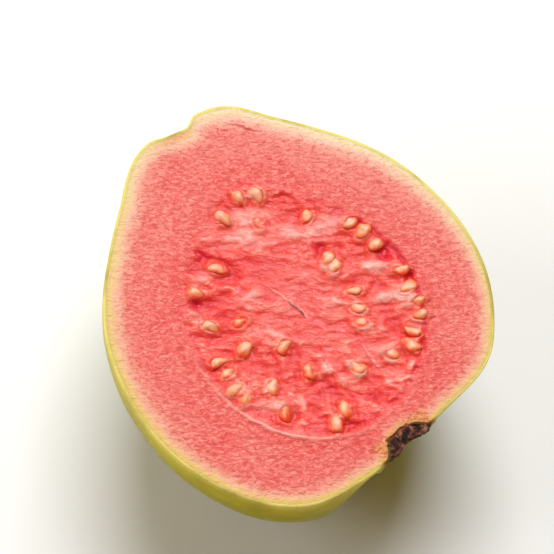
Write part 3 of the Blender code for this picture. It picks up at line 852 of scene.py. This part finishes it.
def calyx():
    """The calyx: a lobed plug, crumbled all over and cut off level with the fruit."""
    turns = np.arange(CALYX_SIDES) * 2 * pi / CALYX_SIDES
    lobes = 1 - LOBE_DENT * np.abs(np.sin(CALYX_LOBES * turns / 2)) ** 3

    def circle(share, height, lobed):
        return np.stack((
            CALYX_RADIUS * share * lobed * np.cos(turns), CALYX_RADIUS * share * lobed * np.sin(turns),
            height * MM * np.ones(CALYX_SIDES)), 1)

    bm, ring = start_ring(circle(*CALYX_BACK[0], 1.0))
    bmesh.ops.contextual_create(bm, geom=ring)
    for share, height in CALYX_BACK[1:]:
        ring = draw_ring(bm, ring, circle(share, height, 1.0))
    for share, height in CALYX_FRONT:
        ring = draw_ring(bm, ring, circle(share, height, 1 - (1 - lobes) * (1 - share) ** 0.5))
    bmesh.ops.contextual_create(bm, geom=ring)
    bm.transform(CALYX_FRAME)
    cut = bmesh.ops.bisect_plane(
        bm, geom=bm.verts[:] + bm.edges[:] + bm.faces[:], dist=1e-7,
        plane_co=(0, 0, CUT_LEVEL - CALYX_GAP), plane_no=(0, 0, 1), clear_outer=True)
    bmesh.ops.edgeloop_fill(bm, edges=[item for item in cut["geom_cut"] if isinstance(item, bmesh.types.BMEdge)])
    piece = add_piece("calyx_crust", bm, brittle_crust(), "calyx", "calyx")
    remesh = piece.modifiers.new("crumbs", "REMESH")
    remesh.mode = "VOXEL"
    remesh.voxel_size = CRUST_VOXEL
    bpy.context.view_layer.update()
    shaped = bpy.data.meshes.new_from_object(piece.evaluated_get(bpy.context.evaluated_depsgraph_get()))
    piece.modifiers.clear()
    piece.data = shaped
    points = corner_points(piece)
    normals = np.empty(3 * len(points))
    piece.data.vertices.foreach_get("normal", normals)
    rough = sum(noise_at(points, size * MM, size) * size / CRUST_SIZES_MM[0] for size in CRUST_SIZES_MM)
    points += normals.reshape(-1, 3) * (CRUST_ROUGH * (rough + 0.2))[:, None]
    piece.data.vertices.foreach_set("co", points.ravel())
    piece.data.update()
    piece.data.shade_smooth()
    _, depth = calyx_place(points)
    add_values(piece, inner=-depth / PIT_DEPTH)
    return piece


calyx()

# Floor, lights and camera. A plain white sheet, one large soft light from beyond the fruit, and soft fill.
# The camera looks down on the cut face at the angle at which the photograph shows it.
FACE_TILT = radians(23)
TILT_TOWARDS = radians(96)
AXIS_TURN = radians(57)
CAMERA_DISTANCE = 450 * MM
PIXEL = 0.195 * MM
IMAGE_MIDDLE = 277
AIM_PIXEL = (300, 312)
AIM_PLACE = Vector((6.35 * MM, 0, CUT_LEVEL))
IMAGE_SIZE = 554
SENSOR = 36.0
FLOOR_SIZE = 3.0
PAPER_CLOUDS = 25 * MM
SKY = ("#FFCE88", 0.15)
# Lights: direction from the fruit, distance and size in metres, power in watts, colour
LIGHTS = {
    "key": ((-0.56, 0.51, 1.05), 2.1, 1.35, 49.4, "#F8FCFF"),
    "side": ((-0.55, -0.8, 0.5), 1.0, 0.6, 4.4, "#FFFFFF")}


def camera_axes():
    """The image's right, down and forward directions in the row frame."""
    tilt = Vector((cos(TILT_TOWARDS), sin(TILT_TOWARDS), 0))
    out = -Vector((0, 0, 1)) * cos(FACE_TILT) - tilt * sin(FACE_TILT)
    right = Vector((0, 1, 0)).cross(out).normalized()
    right *= 1 if right.x > 0 else -1
    down = out.cross(right)
    down *= 1 if down.y > 0 else -1
    along = right * cos(AXIS_TURN) + down * sin(AXIS_TURN)
    across = right * sin(AXIS_TURN) - down * cos(AXIS_TURN)
    return [Vector((along[k], across[k], out[k])) for k in range(3)]


def add_camera():
    """The camera, placed so that the aimed place falls on its pixel."""
    right, down, forward = camera_axes()
    sideways = [(pixel - IMAGE_MIDDLE) * PIXEL for pixel in AIM_PIXEL]
    data = bpy.data.cameras.new("camera")
    data.sensor_width = SENSOR
    data.lens = SENSOR * CAMERA_DISTANCE / (IMAGE_SIZE * PIXEL)
    data.clip_start = 0.01
    camera = bpy.data.objects.new("camera", data)
    turn = Matrix((right, -down, -forward)).transposed()
    place = AIM_PLACE - right * sideways[0] - down * sideways[1] - forward * CAMERA_DISTANCE
    camera.matrix_world = Matrix.Translation(place) @ turn.to_4x4()
    bpy.context.scene.collection.objects.link(camera)
    bpy.context.scene.camera = camera


def add_light(name, direction, distance, size, power, colour):
    """A square soft light that shines at the fruit from a direction."""
    data = bpy.data.lights.new(name, "AREA")
    data.size = size
    data.energy = power
    data.color = linear(colour)[:3]
    light = bpy.data.objects.new(name, data)
    direction = Vector(direction).normalized()
    light.location = AIM_PLACE + direction * distance
    light.rotation_mode = "QUATERNION"
    light.rotation_quaternion = direction.to_track_quat("Z", "Y")
    bpy.context.scene.collection.objects.link(light)


def add_floor():
    """The plain white sheet that the fruit lies on."""
    bm = bmesh.new()
    bmesh.ops.create_grid(bm, x_segments=1, y_segments=1, size=FLOOR_SIZE)
    mesh = bpy.data.meshes.new("floor")
    bm.to_mesh(mesh)
    bm.free()
    material, tree = new_material("matt_white_paper")
    place = add_node(tree, "ShaderNodeTexCoord", "Object")
    fibres = add_node(tree, "ShaderNodeTexNoise", "Fac", Vector=place, Scale=1 / PAPER_CLOUDS)
    colour = add_node(tree, "ShaderNodeValToRGB", 0, {"stops": ((0.3, "#FAFAFA"), (0.7, "#FBFBFB"))}, n0=fibres)
    finish_material(tree, Base_Color=colour, Roughness=0.8)
    mesh.materials.append(material)
    floor = bpy.data.objects.new("floor", mesh)
    bpy.context.scene.collection.objects.link(floor)


def add_sky():
    """Even warm light from all round."""
    world = bpy.data.worlds.new("studio")
    world.use_nodes = True
    background = world.node_tree.nodes["Background"]
    background.inputs["Color"].default_value = linear(SKY[0])
    background.inputs["Strength"].default_value = SKY[1]
    bpy.context.scene.world = world


add_camera()
add_floor()
add_sky()
for light_name, light in LIGHTS.items():
    add_light(light_name, *light)
bpy.context.scene.view_settings.view_transform = "Standard"
